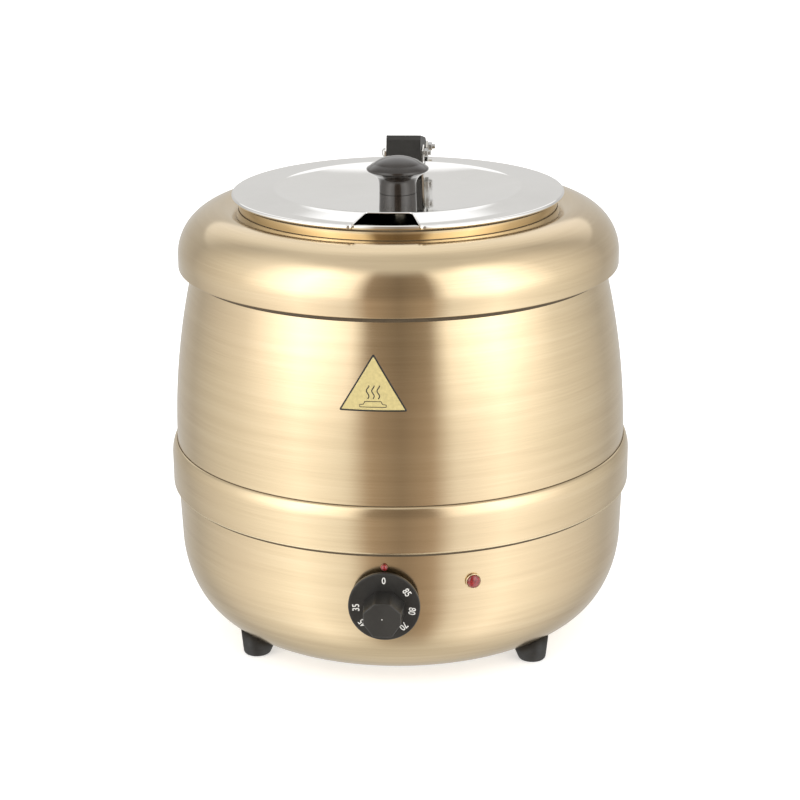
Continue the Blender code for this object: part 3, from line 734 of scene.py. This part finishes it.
def make_numeral(text, turn, face_y):
    """A printed number, its top towards the dial's edge, turn degrees clockwise from the top."""
    curve = bpy.data.curves.new("numeral_" + text, "FONT")
    curve.body = text
    curve.size = 6.8 * MM
    curve.align_x, curve.align_y = "CENTER", "CENTER"
    curve.extrude = 0.06 * MM
    curve.offset = 0.09 * MM
    guide = bpy.data.objects.new("numeral_line", curve)
    bpy.context.collection.objects.link(guide)
    bpy.context.view_layer.update()
    mesh = bpy.data.meshes.new_from_object(guide.evaluated_get(bpy.context.evaluated_depsgraph_get()))
    bpy.data.objects.remove(guide, do_unlink=True)
    mesh.materials.clear()
    mesh.materials.append(NUMERAL_WHITE)
    piece = bpy.data.objects.new("numeral_" + text, mesh)
    bpy.context.collection.objects.link(piece)
    angle = math.radians(turn)
    reach = 19.3 * MM
    squeeze = Matrix.Diagonal((0.82, 1.0, 1.0, 1.0))
    stand = Matrix.Rotation(math.radians(90), 4, "X")
    place = (reach * math.sin(angle), face_y - 0.04 * MM, DIAL_CENTRE_Z + reach * math.cos(angle))
    mesh.transform(Matrix.Translation(place) @ Matrix.Rotation(angle, 4, "Y") @ stand @ squeeze)
    add_piece(piece, "dial")


def make_indicators():
    """The lamp with its thin bezel ring in lighter brass, a painted highlight, and the small jewel that
    marks the dial's top.
    """
    middle = (lens_low_corner + lens_high_corner) / 2
    out = Vector((middle.x, middle.y, 0)).normalized()
    depth_in, depth_out = 168.4 * MM, 172.0 * MM
    radius = 5.2 * MM
    lens = [
        (0, depth_in + 0.4 * MM),
        (radius - 0.6 * MM, depth_in + 0.4 * MM),
        (radius - 0.6 * MM, depth_in + 1.2 * MM),
        *arc((0, depth_in + 1.2 * MM), (radius - 0.6 * MM, depth_out - depth_in - 1.2 * MM), 8, 90, 12),
    ]
    lens[-1] = (0, depth_out)
    axis = ((0, 0, middle.z), out)
    stand_for(turned("lamp_lens", lens, RED, 64, axis), "indicator_lens", "housing")
    # the lamp's bezel ring: a real ring, its lighter brass a painted highlight
    bead = 0.35 * MM
    ring = arc((radius, depth_in + 1.0 * MM), (bead, bead * 1.6), 0, 345, 16)
    add_piece(turned("lamp_ring", ring, HIGHLIGHT_BRASS, 64, axis), "housing")

    low, high = jewel_low_corner, jewel_high_corner
    jewel_radius = (high.z - low.z) / 2
    front = -low.y
    flange = front - 2.4 * MM
    jewel = [
        (0, flange - 6 * MM),
        (1.2 * MM, flange - 6 * MM),
        (1.2 * MM, flange),
        (jewel_radius, flange),
        *arc((0, flange + 0.2 * MM), (jewel_radius, front - flange - 0.2 * MM), 0, 90, 10),
    ]
    jewel[-1] = (0, front)
    axis = ((0, 0, (low.z + high.z) / 2), (0, -1, 0))
    stand_for(turned("dial_jewel", jewel, RED, 48, axis), "index_jewel", "housing")


def make_gland():
    """The cord gland: a flanged body and a ribbed cap that narrows to its mouth."""
    bore = 3.8 * MM
    front = gland_high_corner.y
    profile = [
        (bore, 154.0 * MM),
        (7.6 * MM, 154.0 * MM),
        (7.6 * MM, 169.0 * MM),
        (10.6 * MM, 169.0 * MM),
        (11.0 * MM, 169.6 * MM),
        (11.0 * MM, 173.4 * MM),
        (10.4 * MM, 174.2 * MM),
        (9.4 * MM, 175.0 * MM),
        (9.2 * MM, 183.0 * MM),
        *arc((5.4 * MM, 183.0 * MM), (3.8 * MM, front - 183.6 * MM), 10, 88, 8),
        (5.2 * MM, front),
        (bore, front),
    ]
    axis = ((0, 0, GLAND_Z), (0, 1, 0))
    body = turned("gland_body", profile, DIAL_BLACK, 96, axis)
    stand_for(body, "cord_gland", "housing")
    ribs, rib_circle = 18, 9.25 * MM
    for index in range(ribs):
        angle = math.tau * index / ribs
        x, z = rib_circle * math.cos(angle), GLAND_Z + rib_circle * math.sin(angle)
        route = [(x, 175.4 * MM, z), (x, 178.5 * MM, z), (x, 182.4 * MM, z)]
        add_piece(tube(f"gland_rib_{index + 1}", route, 0.45 * MM, DIAL_BLACK), "housing")


def make_feet():
    """Moulded feet: upright outside, flared inwards, with a softened sole, cut to the bowl's curve."""
    clear = 0.25 * MM
    cutter_top = 129 * MM
    wall = BODY_RADIUS - 1.0 * MM
    drop = BOWL_WALL_LOW - bowl_low_corner.z
    corner = arc((wall - BOWL_CORNER, BOWL_WALL_LOW), (BOWL_CORNER + clear, drop + clear), -90, 0, 28)
    solid = [(0, bowl_low_corner.z - clear), *corner, (BODY_RADIUS + clear, cutter_top), (0, cutter_top)]
    cutter = turned("foot_cutter", solid, RUBBER)
    cutter.hide_render = True
    cutter.display_type = "WIRE"
    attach(cutter, "housing")
    for place in ("front_left", "front_right", "rear_left", "rear_right"):
        node = "foot_" + place
        mount = next(m for m in frame["record"]["mounts"] if m["name"] == node)
        centre = Vector(mount["pos_m"])
        inwards = -centre.normalized()
        mesh_data = bmesh.new()
        steps = 72
        rings = [(8.6, 0.0, 0.0), (9.3, 0.25, 0.0), (9.9, 0.9, 0.0), (10.3, 1.8, 0.0), (18.5, 30.0, 6.5)]
        loops = []
        for radius, height, shift in rings:
            middle = centre + inwards * (shift * MM)
            loop = []
            for step in range(steps):
                angle = math.tau * step / steps
                spot = (middle.x + radius * MM * math.cos(angle), middle.y + radius * MM * math.sin(angle))
                loop.append(mesh_data.verts.new((*spot, height * MM)))
            loops.append(loop)
        for near, far in zip(loops, loops[1:]):
            for index in range(steps):
                after = (index + 1) % steps
                mesh_data.faces.new((near[index], near[after], far[after], far[index]))
        mesh_data.faces.new(loops[0])
        mesh_data.faces.new(loops[-1])
        foot = finish_mesh("sole_" + place, mesh_data, RUBBER, 50)
        modifier = foot.modifiers.new("bowl_curve", "BOOLEAN")
        modifier.operation = "DIFFERENCE"
        modifier.object = cutter
        stand_for(foot, node, "housing")


# --- Heat label -------------------------------------------------------------------------------------
LABEL_TURN = math.radians(-2.3)  # from the kettle's front
LABEL_LOW, LABEL_HIGH = 214.8 * MM, 253.8 * MM
LABEL_HALF = 23.6 * MM


def on_barrel(across, height, lift):
    """The point on the barrel at a distance across from the label's middle, lifted off the metal."""
    radius = barrel_radius(height) + lift
    angle = LABEL_TURN + across / barrel_radius(height)
    return (radius * math.sin(angle), -radius * math.cos(angle), height)


def barrel_patch(name, outline, lift, material):
    """A flat outline of (across, height) points laid on the barrel as a thin film."""
    mesh_data = bmesh.new()
    mesh_data.faces.new([mesh_data.verts.new((across, height, 0)) for across, height in outline])
    bmesh.ops.triangulate(mesh_data, faces=mesh_data.faces)
    for _ in range(6):
        long_edges = [edge for edge in mesh_data.edges if edge.calc_length() > 2.2 * MM]
        if not long_edges:
            break
        bmesh.ops.subdivide_edges(mesh_data, edges=long_edges, cuts=1)
        bmesh.ops.triangulate(mesh_data, faces=mesh_data.faces)
    for point in mesh_data.verts:
        point.co = on_barrel(point.co.x, point.co.y, lift)
    piece = finish_mesh(name, mesh_data, material)
    film = piece.modifiers.new("film", "SOLIDIFY")
    film.thickness = 0.05 * MM
    film.offset = -1
    return add_piece(piece, "housing")


def rounded_triangle(inset, corner):
    """The label's triangle, inset from its edge, with rounded corners."""
    height = LABEL_HIGH - LABEL_LOW
    slope = math.hypot(LABEL_HALF, height)
    low = LABEL_LOW + inset
    top = LABEL_HIGH - inset * slope / LABEL_HALF
    half = LABEL_HALF * (top - low) / height
    tips = [Vector((-half, low)), Vector((half, low)), Vector((0, top))]
    outline = []
    for index, tip in enumerate(tips):
        to_before = (tips[index - 1] - tip).normalized() * corner
        to_after = (tips[(index + 1) % 3] - tip).normalized() * corner
        for step in range(6):
            t = step / 5
            outline.append(tuple(tip + to_before * (1 - t) ** 2 + to_after * t**2))
    return outline


def ribbon(points, half_width):
    """Outline of a line of constant width through (across, height) points."""
    left, right = [], []
    for index, point in enumerate(points):
        before, after = points[max(index - 1, 0)], points[min(index + 1, len(points) - 1)]
        run, rise = after[0] - before[0], after[1] - before[1]
        length = math.hypot(run, rise)
        side = (-rise / length * half_width, run / length * half_width)
        left.append((point[0] + side[0], point[1] + side[1]))
        right.append((point[0] - side[0], point[1] - side[1]))
    return left + right[::-1]


def make_label():
    """A plain triangular heat label: a gold field, a black border, three waves of heat over a hot plate."""
    barrel_patch("label_border", rounded_triangle(0, 2.0 * MM), 0.12 * MM, LABEL_BLACK)
    barrel_patch("label_field", rounded_triangle(1.1 * MM, 0.8 * MM), 0.19 * MM, LABEL_GOLD)
    ink = 0.26 * MM
    wave_low, wave_high = LABEL_LOW + 8.6 * MM, LABEL_LOW + 17.6 * MM
    for number, across in enumerate((-3.6 * MM, 0, 3.6 * MM), 1):
        points = []
        for step in range(19):
            t = step / 18
            sway = 0.85 * MM * math.sin(math.tau * 1.25 * t)
            points.append((across + sway, wave_low + (wave_high - wave_low) * t))
        barrel_patch(f"label_wave_{number}", ribbon(points, 0.36 * MM), ink, LABEL_BLACK)
    right_half = [(9.0, 3.0), (9.0, 4.6), (6.4, 4.9), (5.6, 6.8)]
    plate = [(-9.0, 3.0), *right_half, *[(-across, height) for across, height in reversed(right_half[1:])]]
    outline = [(across * MM, LABEL_LOW + height * MM) for across, height in plate]
    edges = outline + outline[:1]
    for number, pair in enumerate(zip(edges, edges[1:]), 1):
        barrel_patch(f"label_plate_{number}", ribbon(pair, 0.22 * MM), ink, LABEL_BLACK)


# --- Pieces that keep their CAD shape -----------------------------------------------------------------
def dress_cad_nodes():
    """Every CAD node still shown gets its material, and smooth shading between its sharp edges."""
    by_slot = {
        "satin_steel": SATIN,
        "aluminium": ALUMINIUM,
        "copper": COPPER,
        "black_plastic": DIAL_BLACK,
        "white_plastic": CERAMIC,
        "red_lens": RED,
        "rubber": RUBBER,
        "brass": BRASS,
        "bakelite": BAKELITE,
        "polished_steel": POT_STEEL,
    }
    slots = {row["node"]: row["material_slot"] for row in frame["record"]["subparts"]}
    done = ("hinge_arm", "lid_bracket", "hinge_bracket")
    for name, part in frame["nodes"].items():
        if part.hide_render or name in done:
            continue
        part.data.materials.clear()
        part.data.materials.append(by_slot[slots[name]])
        part.data.shade_smooth()
        part.data.set_sharp_from_angle(angle=math.radians(35))


# --- Studio -----------------------------------------------------------------------------------------
def make_sky():
    """Soft studio surroundings: a wide light on each side of the camera and a darker gap between them."""
    world = bpy.data.worlds.new("studio")
    bpy.context.scene.world = world
    world.use_nodes = True
    nodes = Nodes(world.node_tree)
    direction = nodes.add("ShaderNodeTexCoord").outputs["Generated"]
    x, y, z = nodes.add("ShaderNodeSeparateXYZ", Vector=direction).outputs
    sine, cosine = math.sin(VIEW_TURN), math.cos(VIEW_TURN)
    to_camera = nodes.math("SUBTRACT", nodes.math("MULTIPLY", x, sine), nodes.math("MULTIPLY", y, cosine))
    to_right = nodes.math("ADD", nodes.math("MULTIPLY", x, cosine), nodes.math("MULTIPLY", y, sine))
    turn = nodes.math("ABSOLUTE", nodes.math("ARCTAN2", to_right, to_camera))
    height = nodes.math("ARCSINE", z)
    share = nodes.math("DIVIDE", turn, math.pi)
    # (degrees round from the camera, brightness), for the low and the high part of the surroundings
    low_stops = [(0, 0.30), (16, 0.48), (27, 1.12), (52, 1.56), (88, 1.05), (130, 0.58), (180, 0.66)]
    high_stops = [(0, 0.22), (16, 0.34), (25, 1.60), (52, 2.60), (88, 1.12), (130, 0.52), (180, 0.72)]
    warm = (1.12, 0.92, 0.74)  # the gap behind the camera is a browner grey than the lights
    sides = []
    for stops in (low_stops, high_stops):
        tinted = []
        for stop, level in stops:
            tint = warm if stop < 20 else (1.0, 0.99, 0.97)
            tinted.append((stop / 180, (*[level * part for part in tint], 1)))
        sides.append(nodes.ramp(share, tinted))
    upper_half = nodes.span(height, math.radians(-12), math.radians(10), 0, 1, smooth=True)
    light = nodes.mix(upper_half, sides[0], sides[1])
    above = nodes.span(height, math.radians(45), math.radians(70), 0, 1, smooth=True)
    below = nodes.span(height, math.radians(-78), math.radians(-48), 1, 0, smooth=True)
    light = nodes.mix(above, light, (0.80, 0.80, 0.79, 1))
    light = nodes.mix(below, light, (0.78, 0.77, 0.74, 1))
    behind = nodes.span(turn, math.radians(118), math.radians(168), 0, 1, smooth=True)
    high = nodes.span(height, math.radians(19.8), math.radians(21.2), 0, 1)
    low_sky = nodes.span(height, math.radians(60), math.radians(75), 1, 0)
    upper = nodes.math("MULTIPLY", nodes.math("MULTIPLY", behind, high), low_sky)
    light = nodes.mix(upper, light, (1.15, 1.15, 1.15, 1))
    background = nodes.add("ShaderNodeBackground", Color=light, Strength=1.0)
    nodes.add("ShaderNodeOutputWorld", Surface=background.outputs[0])


def make_floor():
    """A plain white floor and a white surround that only the camera sees."""
    white, nodes = new_material("floor_white")
    shader = nodes.add("ShaderNodeBsdfPrincipled", Base_Color=(0.92, 0.92, 0.92, 1), Roughness=0.9)
    shader.inputs["Emission Color"].default_value = (1, 1, 1, 1)
    shader.inputs["Emission Strength"].default_value = 0.5
    close_material(nodes, shader)
    bpy.ops.mesh.primitive_plane_add(size=24)
    floor = bpy.context.object
    floor.name = "floor"
    floor.data.materials.append(white)
    floor.visible_glossy = False

    glow, nodes = new_material("surround_white")
    close_material(nodes, nodes.add("ShaderNodeEmission", Color=(1, 1, 1, 1), Strength=1.0))
    bpy.ops.mesh.primitive_uv_sphere_add(segments=32, ring_count=16, radius=14)
    surround = bpy.context.object
    surround.name = "surround"
    surround.data.materials.append(glow)
    for way in ("diffuse", "glossy", "transmission", "volume_scatter", "shadow"):
        setattr(surround, "visible_" + way, False)


def make_camera():
    distance, height = 1.45, 0.6443
    pitch, roll = 0.31655, math.radians(-0.6)
    sine, cosine = math.sin(VIEW_TURN), math.cos(VIEW_TURN)
    right = Vector((cosine, sine, 0))
    forward = Vector((-sine * math.cos(pitch), cosine * math.cos(pitch), -math.sin(pitch)))
    turn = Matrix((right, right.cross(forward), -forward)).transposed()
    data = bpy.data.cameras.new("view")
    data.lens = 90.65
    data.clip_end = 50
    camera = bpy.data.objects.new("view", data)
    camera.matrix_world = (
        Matrix.Translation((distance * sine, -distance * cosine, height))
        @ turn.to_4x4()
        @ Matrix.Rotation(roll, 4, "Z")
    )
    bpy.context.collection.objects.link(camera)
    bpy.context.scene.camera = camera
    bpy.context.scene.view_settings.view_transform = "Standard"


def main():
    make_bowl()
    make_band()
    make_barrel()
    make_collar()
    make_seam_shades()
    make_pot()
    make_pot_rim_face()
    make_lid()
    make_lid_knob()
    make_hinge()
    make_dial()
    make_indicators()
    make_gland()
    make_feet()
    make_label()
    dress_cad_nodes()
    make_sky()
    make_floor()
    make_camera()


main()
